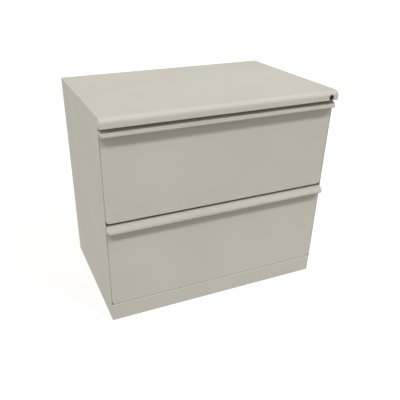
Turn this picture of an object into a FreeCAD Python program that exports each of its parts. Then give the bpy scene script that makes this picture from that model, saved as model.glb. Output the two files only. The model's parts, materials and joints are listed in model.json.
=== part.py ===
"""Two-drawer lateral filing cabinet in folded sheet steel.

Millimetres. +X is to the right, -Y is the front, +Z is up. The origin is on the floor, under the
middle of the cabinet's outside box. Every sheet piece is an outline or a folded strip, extruded.
"""
import FreeCAD, Part
import math
import os

from FreeCAD import Vector

# ---- overall sizes ----
width = 762.0                # outside of one side panel to the outside of the other
case_depth = 484.0           # front edge of the side panels to the back face
case_height = 685.0          # floor to top face
lip_reach = 22.0             # the top's lip and the pulls stand this far in front of the case
lip_height = 29.0            # height of the top's front lip
lip_radius = 16.0            # rounding of the lip's upper edge

# ---- sheet thicknesses and bends ----
side_sheet = 1.2
top_sheet = 1.2
back_sheet = 1.0
floor_sheet = 1.2
front_sheet = 1.0            # drawer front pan and its liner
pull_sheet = 1.5
frame_sheet = 1.5            # rails, uprights and base channels
box_sheet = 1.0              # drawer box
bend = 1.5                   # inside radius of a fold

# ---- front layout ----
base_height = 62.0           # face of the base below the lower drawer
base_reveal = 2.0            # gap between the base and the lower drawer front
drawer_gap = 8.7             # gap between the two drawer fronts
lip_gap = 6.8                # gap between the top's lip and the upper pull
side_gap = 0.8               # gap between a drawer front and a side panel
pan_depth = 19.0             # depth of the folded drawer front
pan_corner = 12.0            # rounding of the lower corners of a drawer front
pan_edge = 1.2               # rounding of the face's edges

# ---- pulls ----
pull_inset = 0.5             # each end of a pull stands this far inside the side panel's face
pull_clearance = 0.6         # gap between a pull and the front edges of the side panels
pull_break = 2.7             # level strip in front of the drawer face before the slope
pull_slope = 30.0            # degrees
pull_drop = 17.1             # top of the pull to its lower edge
pull_break_radius = 7.5
pull_nose_radius = 6.0
pull_corner = 11.0           # rounding of the ends, seen from above
pull_flange = 18.0           # flange that lies on the drawer front's upper edge

# ---- case frame ----
lip_return = 12.0            # fold at the lower edge of the lip
lip_fold = 0.4               # inside radius of that fold
top_back_flange = 14.0
rail_set_back = 22.0         # case front to the header and middle rails
rail_depth = 14.0
header_height = 38.0
middle_rail_height = 30.0
base_rail_depth = 30.0
upright_set_back = 46.0      # case front to the front uprights
upright_width = 36.0         # along Y
upright_depth = 25.0         # side panel to slide
channel_lift = 10.0          # underside of a base channel above the floor
channel_width = 40.0

# ---- slides ----
slide_thickness = 12.7
slide_height = 46.0
slide_length = 440.0
slide_set_back = 26.0        # case front to the front end of the slides
slide_rise = 130.0           # lower edge of a drawer front to its slides' centre line
slide_wall = 1.2
web_play = 1.4               # between the webs of nested members
ball_radius = 2.1
race_play = 0.3              # ball to race
cabinet_flange_play = 1.7    # end of the cabinet member's flange to the drawer side
middle_flange_play = 1.3
cage_thickness = 0.6
cage_width = 5.6
ball_play = 0.1              # ball to its hole in the cage
balls_in_row = 5
cage_margin = 15.0           # end of a member to the end of its cage

# ---- drawer boxes ----
box_depth = 425.0            # back of the drawer front to the back of the box
box_rise = 18.0              # lower edge of the drawer front to the underside of the box
box_height = 240.0
box_bottom_flange = 12.0
box_top_flange = 8.0
hang_rail_height = 20.0
hang_rail_sheet = 2.0
hang_rail_inset = 10.0       # box end to hanging rail
hang_rail_drop = 4.0         # top of the box to the top of the rail

# ---- lock ----
lock_side = 25.5             # lock axis to the outside of the right side panel
lock_drop = 19.0             # top face to the lock axis
lock_radius = 7.75
lock_hole_play = 0.1
lock_proud = 1.6
lock_length = 27.0
plug_radius = 5.0
plug_play = 0.05             # running clearance, on the radius
plug_recess = 0.5
keyway_width = 1.2
keyway_height = 6.5
keyway_depth = 6.0
lock_nut_flats = 17.0
lock_nut_thickness = 4.0
lock_nut_stand = 1.3         # the nut bears on the lip's curve, this far behind its flat
tail_radius = 3.0
crank_radius = 7.0           # axis of the plug to the crank pin
crank_disc_radius = 10.5
crank_disc_thickness = 3.0
crank_pin_radius = 2.5
crank_pin_play = 0.4
bar_width = 16.0
bar_thickness = 3.0
bar_gap_to_disc = 3.0
bar_gap_to_upright = 6.0
bar_gap_to_slide = 1.2
bar_foot = 30.0              # floor panel to the lower end of the lock bar
bar_head_wall = 3.0
catch_rise = 190.0           # lower edge of a drawer front to the tip of its lock catch
catch_sheet = 2.0
catch_notch_depth = 11.0
catch_hook = 4.0             # along Y
catch_height = 18.0
finger_gap = 2.0             # finger to catch, unlocked
finger_height = 5.0
finger_length = 12.0         # the bar's finger, forward of the bar
finger_arm = 5.0             # width of the arm that carries the finger's tip past the hook
finger_tip = 4.0             # the tip, along Y
guide_sheet = 1.5
guide_height = 12.0
guide_play = 0.5

# ---- feet, ballast and small parts ----
glide_inset = 20.0           # base channel's web to the glide's axis
glide_front = 58.0           # case front to the front glides
glide_back = 52.0            # case back to the rear glides
glide_radius = 14.0
glide_foot = 6.0
glide_clear = 0.5            # foot above the floor when it is screwed right in
stem_radius = 5.0
stem_play = 0.05
stem_length = 46.0
glide_nut_radius = 8.5
glide_nut_height = 8.0
weight_half_width = 250.0
weight_depth = 120.0
weight_height = 25.0
bumper_radius = 4.0
bumper_gap = 0.4
bumper_x = 250.0
screw_radius = 2.0
screw_head_radius = 4.0
screw_head_height = 2.0
flat_head_height = 1.0
screw_play = 0.05
screw_length = 6.0
back_screw_inset = 12.0      # edge of the back panel to its screws
back_screw_rows = 5
back_screw_columns = 4

# ---- places that follow from the sizes above ----
half_width = width / 2
inner_half = half_width - side_sheet
whole_depth = lock_proud + lip_reach + case_depth + screw_head_height
y_front = lock_proud + lip_reach - whole_depth / 2
y_back = y_front + case_depth
y_lip = y_front - lip_reach
y_inner_back = y_back - back_sheet
z_under_top = case_height - top_sheet
z_lip = case_height - lip_height
front_height = (z_lip - lip_gap - base_height - base_reveal - drawer_gap) / 2
front_bottom = {
    "lower": base_height + base_reveal,
    "upper": base_height + base_reveal + front_height + drawer_gap,
}
pan_half = inner_half - side_gap
pull_half = half_width - pull_inset
y_pan_back = y_front + pan_depth
floor_top = base_height - frame_sheet
floor_under = floor_top - floor_sheet
slide_x = inner_half - upright_depth
box_half = slide_x - slide_thickness
y_slide = y_front + slide_set_back
y_box_back = y_pan_back + box_depth
y_upright = {
    "front": y_front + upright_set_back,
    "rear": y_inner_back - top_sheet - bend - upright_width,
}
y_rail = y_front + rail_set_back
z_middle = front_bottom["upper"] - drawer_gap / 2
lock_x = half_width - lock_side
lock_z = case_height - lock_drop
y_bar_back = y_upright["front"] - bar_gap_to_upright
y_bar = y_bar_back - bar_thickness
y_disc = y_bar - bar_gap_to_disc - crank_disc_thickness
bar_x = slide_x + bar_gap_to_slide
bar_travel = 2 * crank_radius * math.sin(math.radians(45))

sides = {"left": -1, "right": 1}
levels = ("upper", "lower")


# ---- shapes ----
def box(x0, x1, y0, y1, z0, z1):
    """A plain block between two corners, given in any order."""
    low = Vector(min(x0, x1), min(y0, y1), min(z0, z1))
    return Part.makeBox(abs(x1 - x0), abs(y1 - y0), abs(z1 - z0), low)


def rod(start, axis, radius, length):
    """A cylinder from a point along an axis."""
    return Part.makeCylinder(radius, length, Vector(*start), Vector(*axis))


def in_xy(a, b):
    return Vector(a, b, 0)


def in_xz(a, b):
    return Vector(a, 0, b)


def in_yz(a, b):
    return Vector(0, a, b)


def unit(a, b):
    length = math.hypot(b[0] - a[0], b[1] - a[1])
    return ((b[0] - a[0]) / length, (b[1] - a[1]) / length)


def outline(corners, plane):
    """A face from corners (a, b, radius); a corner with a radius becomes an arc."""
    runs = []
    count = len(corners)
    for i, (a, b, radius) in enumerate(corners):
        before = unit((a, b), corners[i - 1][:2])
        after = unit((a, b), corners[(i + 1) % count][:2])
        if radius <= 0:
            runs.append([plane(a, b)])
            continue
        half = math.acos(max(-1, min(1, before[0] * after[0] + before[1] * after[1]))) / 2
        reach = radius / math.tan(half)
        middle = (before[0] + after[0], before[1] + after[1])
        length = math.hypot(*middle)
        to_arc = (radius / math.sin(half) - radius) / length
        runs.append([
            plane(a + before[0] * reach, b + before[1] * reach),
            plane(a + middle[0] * to_arc, b + middle[1] * to_arc),
            plane(a + after[0] * reach, b + after[1] * reach),
        ])
    edges = []
    for i, run in enumerate(runs):
        if len(run) == 3:
            edges.append(Part.Arc(*run).toShape())
        start, end = run[-1], runs[(i + 1) % count][0]
        if start.distanceToPoint(end) > 1e-6:
            edges.append(Part.makeLine(start, end))
    return Part.Face(Part.Wire(edges))


def offset_left(path, distance):
    """The path moved to the left of its own direction, with mitred corners."""
    moved = []
    last = len(path) - 1
    for i, point in enumerate(path):
        ways = [unit(path[k], path[k + 1]) for k in (i - 1, i) if 0 <= k < last]
        normals = [(-way[1], way[0]) for way in ways]
        total = [sum(n[k] for n in normals) for k in (0, 1)]
        scale = distance * len(normals) / (total[0] ** 2 + total[1] ** 2)
        moved.append((point[0] + total[0] * scale, point[1] + total[1] * scale))
    return moved


def strip(path, thickness, plane, radii=None):
    """The section of a folded sheet. The sheet lies to the left of the path; radii are the path's."""
    inner = offset_left([p[:2] for p in path], thickness)
    near, far = [], []
    for i, point in enumerate(path):
        if i in (0, len(path) - 1):
            near.append((*point, 0))
            far.append((*inner[i], 0))
            continue
        into, out = unit(path[i - 1], point), unit(point, path[i + 1])
        left_turn = into[0] * out[1] - into[1] * out[0] > 0
        radius = (radii or {}).get(i, bend + thickness if left_turn else bend)
        near.append((*point, radius))
        far.append((*inner[i], radius - thickness if left_turn else radius + thickness))
    return outline(near + far[::-1], plane)


def along_x(face, x0, x1):
    moved = face.copy()
    moved.translate(Vector(x0, 0, 0))
    return moved.extrude(Vector(x1 - x0, 0, 0))


def along_y(face, y0, y1):
    moved = face.copy()
    moved.translate(Vector(0, y0, 0))
    return moved.extrude(Vector(0, y1 - y0, 0))


def along_z(face, z0, z1):
    moved = face.copy()
    moved.translate(Vector(0, 0, z0))
    return moved.extrude(Vector(0, 0, z1 - z0))


def drill(shape, holes):
    """Cut a list of tools from a shape."""
    return shape.cut(Part.makeCompound(holes)) if holes else shape


def mirror(shape, sign):
    """A left-hand copy of a piece drawn for the right-hand side."""
    if sign > 0:
        return shape
    return shape.mirror(Vector(0, 0, 0), Vector(1, 0, 0))


# ---- screws and their holes ----
def back_screw_places():
    """Centres of the screws round the edge of the back panel, as (x, z)."""
    x_edge = inner_half - back_screw_inset
    z_low, z_high = base_height / 2, z_under_top - top_back_flange / 2
    rows = [z_low + (z_high - z_low) * i / (back_screw_rows - 1) for i in range(back_screw_rows)]
    places = [(sign * x_edge, z) for sign in (-1, 1) for z in rows]
    for i in range(1, back_screw_columns + 1):
        x = -x_edge + 2 * x_edge * i / (back_screw_columns + 1)
        places += [(x, z_low), (x, z_high)]
    return places


def back_holes():
    start = y_back + screw_head_height
    length = back_sheet + top_sheet + frame_sheet + bend + 2 * screw_length
    return [rod((x, start, z), (0, -1, 0), screw_radius + screw_play, length)
            for x, z in back_screw_places()]


def slide_screw_places(level):
    """Centres of the screws that hold a cabinet member to its uprights, as (y, z)."""
    z = front_bottom[level] + slide_rise
    rear = (y_upright["rear"] + y_slide + slide_length) / 2
    return [(y_upright["front"] + upright_width / 2, z), (rear, z)]


def slide_holes(level, sign):
    return [rod((sign * (slide_x - slide_wall * 2), y, z), (sign, 0, 0), screw_radius + screw_play,
                slide_wall * 2 + frame_sheet + screw_length) for y, z in slide_screw_places(level)]


def drawer_screw_places(level):
    """Centres of the screws that hold the drawer members to the box, as (y, z)."""
    z = front_bottom[level] + slide_rise
    spread = slide_length * 0.8
    middle = y_slide + slide_length / 2
    return [(middle + spread * k, z) for k in (-0.5, 0, 0.5)]


def drawer_holes(level, sign):
    return [rod((sign * (box_half - 2 * box_sheet), y, z), (sign, 0, 0), screw_radius + screw_play,
                2 * box_sheet + slide_wall + screw_length) for y, z in drawer_screw_places(level)]


def screw(place, axis, head_height):
    """A screw seen from its seat: the head stands back from the seat, the shank goes along axis."""
    head = rod(place, [-a for a in axis], screw_head_radius, head_height)
    shank = rod(place, axis, screw_radius, screw_length)
    return head.fuse(shank).removeSplitter()


# ---- case ----
def side_panel(sign):
    """Flat side, whose outline takes in the end of the top's lip."""
    face = outline([(y_front, 0, 0), (y_back, 0, 0), (y_back, case_height, 0),
                    (y_lip, case_height, lip_radius), (y_lip, z_lip, 0), (y_front, z_lip, 0)], in_yz)
    return mirror(along_x(face, inner_half, half_width), sign)


def top_panel():
    """Top with a rounded front lip, between the side panels."""
    path = [(y_inner_back, z_under_top - top_back_flange), (y_inner_back, case_height),
            (y_lip, case_height), (y_lip, z_lip), (y_lip + lip_return, z_lip)]
    section = strip(path, top_sheet, in_yz, {2: lip_radius, 3: lip_fold + top_sheet})
    shape = along_x(section, -inner_half, inner_half)
    lock_hole = rod((lock_x, y_lip - 1, lock_z), (0, 1, 0), lock_radius + lock_hole_play, lock_length)
    nut_room = lock_nut_flats / 2 + 3
    notch = box(lock_x - nut_room, lock_x + nut_room, y_lip + top_sheet, y_front, z_lip - 1, lock_z)
    return drill(shape, [lock_hole, notch] + back_holes())


def back_panel():
    sheet = box(-inner_half, inner_half, y_inner_back, y_back, 0, case_height)
    return drill(sheet, back_holes())


def floor_panel():
    y0 = y_front + frame_sheet + bend
    return box(-inner_half, inner_half, y0, y_inner_back, floor_under, floor_top)


def base_front_rail():
    path = [(y_front + base_rail_depth, 0), (y_front, 0), (y_front, base_height),
            (y_front + base_rail_depth, base_height)]
    return along_x(strip(path[::-1], frame_sheet, in_yz), -inner_half, inner_half)


def base_rear_rail():
    path = [(y_inner_back - base_rail_depth, 0), (y_inner_back, 0), (y_inner_back, floor_under),
            (y_inner_back - base_rail_depth, floor_under)]
    rail = along_x(strip(path, frame_sheet, in_yz), -inner_half, inner_half)
    return drill(rail, back_holes())


def glide_places(sign):
    """Axes of the two glides on one side, as (x, y)."""
    x = sign * (inner_half - glide_inset)
    return {"front": (x, y_front + glide_front), "rear": (x, y_back - glide_back)}


def base_channel(sign):
    """Channel between the two base rails, with a nut welded in it over each glide."""
    path = [(inner_half - channel_width, channel_lift), (inner_half, channel_lift),
            (inner_half, floor_under), (inner_half - channel_width, floor_under)]
    channel = along_y(strip(path, frame_sheet, in_xz), y_front + base_rail_depth,
                      y_inner_back - base_rail_depth)
    channel = mirror(channel, sign)
    for x, y in glide_places(sign).values():
        seat = (x, y, channel_lift + frame_sheet)
        channel = channel.fuse(rod(seat, (0, 0, 1), glide_nut_radius, glide_nut_height))
        channel = channel.cut(rod((x, y, 0), (0, 0, 1), stem_radius + stem_play, floor_under - 2))
    return channel.removeSplitter()


def upright(sign, row):
    """Folded post that carries the ends of the slides."""
    y0, y1 = y_upright[row], y_upright[row] + upright_width
    path = [(inner_half, y1), (slide_x, y1), (slide_x, y0), (inner_half, y0)]
    post = mirror(along_z(strip(path, frame_sheet, in_xy), floor_top, z_under_top), sign)
    holes = slide_holes("upper", sign) + slide_holes("lower", sign)
    return drill(post, holes + (back_holes() if row == "rear" else []))


def cross_rail(z0, z1):
    """Channel across the case, open at the back."""
    path = [(y_rail + rail_depth, z1), (y_rail, z1), (y_rail, z0), (y_rail + rail_depth, z0)]
    return along_x(strip(path, frame_sheet, in_yz), -inner_half, inner_half)


def header_rail():
    rail = cross_rail(z_under_top - header_height, z_under_top)
    return drill(rail, [rod((lock_x, y_rail - 1, lock_z), (0, 1, 0), lock_radius, rail_depth)])


def middle_rail():
    return cross_rail(z_middle - middle_rail_height / 2, z_middle + middle_rail_height / 2)


def counterweight():
    y1 = y_inner_back - base_rail_depth - stem_radius
    return box(-weight_half_width, weight_half_width, y1 - weight_depth, y1,
               floor_under - weight_height, floor_under)


def bumpers():
    """Rubber pads on the middle rail, which the drawer fronts close against."""
    reach = y_rail - y_pan_back - bumper_gap
    band = (middle_rail_height - drawer_gap) / 4
    pads = []
    for x in (-bumper_x, bumper_x):
        for z in (z_middle + drawer_gap / 2 + band, z_middle - drawer_gap / 2 - band):
            pads.append(rod((x, y_rail, z), (0, -1, 0), bumper_radius, reach))
    return Part.makeCompound(pads)


def case_screws():
    screws = [screw((x, y_back, z), (0, -1, 0), screw_head_height) for x, z in back_screw_places()]
    for sign in sides.values():
        for level in levels:
            screws += [screw((sign * (slide_x - slide_wall), y, z), (sign, 0, 0), flat_head_height)
                       for y, z in slide_screw_places(level)]
    return Part.makeCompound(screws)


# ---- slides, drawn in section: u is measured from the upright towards the drawer ----
outer_half = slide_height / 2
ball_space = 2 * (ball_radius + race_play)
middle_half = outer_half - slide_wall - ball_space
inner_half_height = middle_half - slide_wall - ball_space


def channel_section(level, u_web, u_end, half):
    """A channel whose web stands at u_web and whose flanges end at u_end."""
    z = front_bottom[level] + slide_rise
    x_web, x_end = slide_x - u_web, slide_x - u_end
    first = -half if u_end > u_web else half
    path = [(x_end, z + first), (x_web, z + first), (x_web, z - first), (x_end, z - first)]
    return strip(path, slide_wall, in_xz)


u_middle = slide_wall + web_play
u_middle_end = slide_thickness - middle_flange_play
u_drawer_end = u_middle + slide_wall + web_play


def cabinet_member(level, sign):
    """Outer channel, with a stop folded across its rear end."""
    u_end = slide_thickness - cabinet_flange_play
    member = along_y(channel_section(level, 0, u_end, outer_half), y_slide, y_slide + slide_length)
    z = front_bottom[level] + slide_rise
    y_end = y_slide + slide_length
    stop_half = outer_half - slide_wall - bend
    stop = box(slide_x, slide_x - u_end, y_end, y_end + slide_wall, z - stop_half, z + stop_half)
    member = mirror(member.fuse(stop).removeSplitter(), sign)
    return drill(member, slide_holes(level, sign))


def ball_cage(level, u_ball, z_ball, y0, y1):
    """One flat strip with a row of balls in its holes."""
    z = front_bottom[level] + slide_rise + z_ball
    x = slide_x - u_ball
    flat = box(x - cage_width / 2, x + cage_width / 2, y0, y1,
               z - cage_thickness / 2, z + cage_thickness / 2)
    step = (y1 - y0) / balls_in_row
    centres = [Vector(x, y0 + step * (i + 0.5), z) for i in range(balls_in_row)]
    hole = ball_radius + ball_play
    holes = [rod((c.x, c.y, c.z - ball_radius), (0, 0, 1), hole, 2 * ball_radius) for c in centres]
    return [drill(flat, holes)] + [Part.makeSphere(ball_radius, c) for c in centres]


def middle_member(level, sign):
    """Channel between the other two, with its ball cages as separate solids."""
    member = along_y(channel_section(level, u_middle, u_middle_end, middle_half),
                     y_slide, y_slide + slide_length)
    pieces = [member]
    y_middle, y_end = y_slide + slide_length / 2, y_slide + slide_length
    u_outer = (u_middle + u_middle_end) / 2
    u_inner = (u_drawer_end + slide_thickness - slide_wall) / 2
    outer_row = middle_half + ball_space / 2
    inner_row = inner_half_height + ball_space / 2
    for way in (-1, 1):
        pieces += ball_cage(level, u_outer, way * outer_row, y_middle + cage_margin, y_end - cage_margin)
        pieces += ball_cage(level, u_inner, way * inner_row, y_slide + cage_margin, y_middle - cage_margin)
    return Part.makeCompound([mirror(piece, sign) for piece in pieces])


def drawer_member(level, sign):
    section = channel_section(level, slide_thickness, u_drawer_end, inner_half_height)
    member = mirror(along_y(section, y_slide, y_slide + slide_length), sign)
    return drill(member, drawer_holes(level, sign))


# ---- drawers ----
def pan_outline(inset, level):
    """The drawer front seen from the front, drawn in by inset."""
    z0 = front_bottom[level] + inset
    z1 = front_bottom[level] + front_height - pull_sheet - inset
    half = pan_half - inset
    low, high = pan_corner - inset, pan_edge - min(inset, pan_edge / 2)
    return outline([(-half, z0, low), (half, z0, low), (half, z1, high), (-half, z1, high)], in_xz)


def rounded_plate(level, inset, y0, y1, edge):
    """The drawer front's outline as a plate whose front edges are rounded."""
    plate = along_y(pan_outline(inset, level), y0, y1)
    rim = [e for e in plate.Edges if all(abs(v.Y - y0) < 1e-6 for v in e.Vertexes)]
    return plate.makeFillet(edge, rim)


def drawer_front(level):
    """Folded pan: a face with returns on all four sides, open at the back."""
    skin = rounded_plate(level, 0, y_front, y_pan_back, pan_edge)
    hollow = rounded_plate(level, front_sheet, y_front + front_sheet, y_pan_back + pan_depth,
                           pan_edge - front_sheet)
    return skin.cut(hollow)


def pull_prism(level, skin, y_open, drop):
    """The solid shape of a pull, drawn in by skin: its section, cut to its rounded plan."""
    z1 = front_bottom[level] + front_height
    y_break = y_front - pull_break
    slope = math.radians(pull_slope)
    lean = skin * math.tan(slope / 2)
    y_nose = y_lip + skin
    z_top = z1 - skin
    y_turn = y_break + lean
    z_nose = z_top - (y_turn - y_nose) * math.tan(slope)
    corners = [(y_open, z_top, 0), (y_turn, z_top, pull_break_radius - skin),
               (y_nose, z_nose, pull_nose_radius - skin), (y_nose, z1 - drop, 0), (y_open, z1 - drop, 0)]
    half = pull_half - skin
    body = along_x(outline(corners, in_yz), -half, half)
    round_end = pull_corner - skin
    plan = outline([(-half, y_open, 0), (half, y_open, 0), (half, y_nose, round_end),
                    (-half, y_nose, round_end)], in_xy)
    return body.common(along_z(plan, z1 - drop - 1, z1 + 1))


def pull(level):
    """Full-width pull, hollow and open underneath, with a flange over the drawer front."""
    z1 = front_bottom[level] + front_height
    y_open = y_front - pull_clearance
    shell = pull_prism(level, 0, y_open, pull_drop)
    shell = shell.cut(pull_prism(level, pull_sheet, y_open + pull_clearance, pull_drop + pull_sheet))
    flange = box(-pan_half, pan_half, y_open - pull_clearance, y_front + pull_flange, z1 - pull_sheet, z1)
    return shell.fuse(flange).removeSplitter()


def front_liner(level):
    """Flat sheet that closes the back of the drawer front."""
    return along_y(pan_outline(front_sheet, level), y_pan_back - front_sheet, y_pan_back)


def box_levels(level):
    z0 = front_bottom[level] + box_rise
    return z0, z0 + box_height


def drawer_side(level, sign):
    z0, z1 = box_levels(level)
    path = [(box_half - box_bottom_flange, z0), (box_half, z0), (box_half, z1),
            (box_half - box_top_flange, z1)]
    side = mirror(along_y(strip(path, box_sheet, in_xz), y_pan_back, y_box_back), sign)
    return drill(side, drawer_holes(level, sign))


def drawer_bottom(level):
    z0 = box_levels(level)[0] + box_sheet
    half = box_half - box_sheet - bend
    return box(-half, half, y_pan_back, y_box_back, z0, z0 + box_sheet)


def drawer_back(level):
    z0, z1 = box_levels(level)
    half = box_half - box_sheet
    fold = box_sheet + bend
    return box(-half, half, y_box_back - box_sheet, y_box_back, z0 + fold, z1 - fold)


def hang_rails(level):
    """The two bars that hanging folders hook over."""
    z1 = box_levels(level)[1] - hang_rail_drop
    half = box_half - box_sheet
    rails = []
    for y in (y_pan_back + hang_rail_inset, y_box_back - hang_rail_inset - hang_rail_sheet):
        rails.append(box(-half, half, y, y + hang_rail_sheet, z1 - hang_rail_height, z1))
    return Part.makeCompound(rails)


def drawer_screws(level):
    return Part.makeCompound([
        screw((sign * (box_half - box_sheet), y, z), (sign, 0, 0), screw_head_height)
        for sign in sides.values() for y, z in drawer_screw_places(level)])


def lock_catch(level):
    """Plate behind the drawer front with a hook that points down over the free end of the bar's finger."""
    z0 = front_bottom[level] + catch_rise
    x = bar_x + bar_width - catch_sheet / 2
    y_hook = y_bar - finger_gap
    z1 = z0 + catch_height
    notch = z0 + catch_notch_depth
    corners = [(y_pan_back, z1, 0), (y_pan_back, notch, 0), (y_hook - catch_hook, notch, 0),
               (y_hook - catch_hook, z0, 0), (y_hook, z0, 0), (y_hook, z1, 0)]
    return along_x(outline(corners, in_yz), x - catch_sheet / 2, x + catch_sheet / 2)


# ---- lock ----
def lock_housing():
    body = rod((lock_x, y_lip - lock_proud, lock_z), (0, 1, 0), lock_radius, lock_length)
    bore = rod((lock_x, y_lip - lock_proud - 1, lock_z), (0, 1, 0), plug_radius + plug_play,
               lock_length + 2)
    return body.cut(bore)


def lock_nut():
    """Hexagon nut behind the lip, with flats at top and bottom."""
    y0 = y_lip + top_sheet + lock_nut_stand
    corner = lock_nut_flats / math.sqrt(3)
    points = [Vector(lock_x + corner * math.cos(math.radians(60 * i)), y0,
                     lock_z + corner * math.sin(math.radians(60 * i))) for i in range(6)]
    blank = Part.Face(Part.makePolygon(points + points[:1])).extrude(Vector(0, lock_nut_thickness, 0))
    return blank.cut(rod((lock_x, y0 - 1, lock_z), (0, 1, 0), lock_radius, lock_nut_thickness + 2))


def lock_plug():
    y0 = y_lip - lock_proud + plug_recess
    body = rod((lock_x, y0, lock_z), (0, 1, 0), plug_radius, lock_length - plug_recess)
    keyway = box(lock_x - keyway_width / 2, lock_x + keyway_width / 2, y0 - 1, y0 + keyway_depth,
                 lock_z - keyway_height / 2, lock_z + keyway_height / 2)
    return body.cut(keyway)


def lock_cam():
    """Tail, crank disc and pin. The pin starts down to the left and swings up by a quarter turn."""
    y_tail = y_lip - lock_proud + lock_length
    reach = crank_radius * math.sin(math.radians(45))
    tail = rod((lock_x, y_tail, lock_z), (0, 1, 0), tail_radius, y_disc - y_tail)
    disc = rod((lock_x, y_disc, lock_z), (0, 1, 0), crank_disc_radius, crank_disc_thickness)
    pin = rod((lock_x - reach, y_disc + crank_disc_thickness, lock_z - reach), (0, 1, 0),
              crank_pin_radius, y_bar_back - y_disc - crank_disc_thickness + 1)
    return tail.fuse([disc, pin]).removeSplitter()


def finger_places():
    """Undersides of the bar's fingers with the lock open."""
    return [front_bottom[level] + catch_rise - finger_gap - finger_height for level in levels]


def lock_bar():
    """Flat bar with a window for the crank pin, and the finger welded to it for each drawer."""
    reach = crank_radius * math.sin(math.radians(45))
    slot = crank_pin_radius + crank_pin_play
    pin_z = lock_z - reach
    z_head = pin_z + slot + bar_head_wall
    strip_of_bar = box(bar_x, bar_x + bar_width, y_bar, y_bar_back, floor_top + bar_foot, z_head)
    left = lock_x - crank_radius - slot - bar_head_wall
    head = box(left, bar_x + bar_width, y_bar, y_bar_back, pin_z - slot - bar_head_wall, z_head)
    window = box(lock_x - crank_radius - slot, lock_x - reach + slot, y_bar - 1, y_bar_back + 1,
                 pin_z - slot, pin_z + slot)
    bar = strip_of_bar.fuse(head).cut(window).removeSplitter()
    fingers = []
    for z in finger_places():
        y_tip = y_bar - finger_length
        arm = box(bar_x, bar_x + finger_arm, y_tip, y_bar, z, z + finger_height)
        tip = box(bar_x, bar_x + bar_width, y_tip, y_tip + finger_tip, z, z + finger_height)
        fingers.append(arm.fuse(tip).removeSplitter())
    return Part.makeCompound([bar] + fingers)


def lock_bar_guides():
    """Straps on the front face of the right front upright, which the bar slides through."""
    x0, x1 = bar_x - guide_play, bar_x + bar_width + guide_play
    y0 = y_bar - guide_play - guide_sheet
    heights = [floor_top + bar_foot + 2 * guide_height, z_middle,
               z_under_top - header_height - 2 * guide_height]
    path = [(x0, y0), (x1 + guide_sheet, y0), (x1 + guide_sheet, y_upright["front"])]
    plan = strip(path, guide_sheet, in_xy)
    return Part.makeCompound([along_z(plan, z, z + guide_height) for z in heights])


# ---- feet ----
def glide(sign, row):
    """Levelling foot on a threaded stem, screwed right in."""
    x, y = glide_places(sign)[row]
    foot = rod((x, y, glide_clear), (0, 0, 1), glide_radius, glide_foot)
    foot = foot.makeChamfer(1.5, [e for e in foot.Edges if len(e.Vertexes) == 1])
    stem = rod((x, y, glide_clear + glide_foot), (0, 0, 1), stem_radius, stem_length)
    return foot.fuse(stem).removeSplitter()


def all_parts():
    """Every node's name and shape."""
    parts = {
        "top_panel": top_panel(), "back_panel": back_panel(), "floor_panel": floor_panel(),
        "base_front_rail": base_front_rail(), "base_rear_rail": base_rear_rail(),
        "header_rail": header_rail(), "middle_rail": middle_rail(), "counterweight": counterweight(),
        "bumpers": bumpers(), "case_screws": case_screws(), "lock_housing": lock_housing(),
        "lock_nut": lock_nut(), "lock_plug": lock_plug(), "lock_cam": lock_cam(),
        "lock_bar": lock_bar(), "lock_bar_guides": lock_bar_guides(),
    }
    for side, sign in sides.items():
        parts[f"{side}_side_panel"] = side_panel(sign)
        parts[f"{side}_base_channel"] = base_channel(sign)
        for row in ("front", "rear"):
            parts[f"{row}_{side}_upright"] = upright(sign, row)
            parts[f"{row}_{side}_glide"] = glide(sign, row)
        for level in levels:
            parts[f"{level}_{side}_cabinet_member"] = cabinet_member(level, sign)
            parts[f"{level}_{side}_middle_member"] = middle_member(level, sign)
            parts[f"{level}_{side}_drawer_member"] = drawer_member(level, sign)
            parts[f"{level}_drawer_{side}_side"] = drawer_side(level, sign)
    for level in levels:
        parts[f"{level}_drawer_front"] = drawer_front(level)
        parts[f"{level}_pull"] = pull(level)
        parts[f"{level}_front_liner"] = front_liner(level)
        parts[f"{level}_drawer_bottom"] = drawer_bottom(level)
        parts[f"{level}_drawer_back"] = drawer_back(level)
        parts[f"{level}_hang_rails"] = hang_rails(level)
        parts[f"{level}_lock_catch"] = lock_catch(level)
        parts[f"{level}_drawer_screws"] = drawer_screws(level)
    return parts


os.makedirs("parts", exist_ok=True)
for name, shape in all_parts().items():
    shape.exportStep(f"parts/{name}.step")
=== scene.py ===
"""Looks of a two-drawer lateral filing cabinet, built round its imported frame.

Metres, in the frame of the cabinet: +X to the right, -Y the front, +Z up. Every place comes from the
frame's own boxes. Pieces that replace a frame node are folded-sheet shapes with true bend radii.
"""

import json
import logging
import math
from dataclasses import dataclass, field
from enum import Enum
from typing import Callable, Iterable, Sequence

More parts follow.
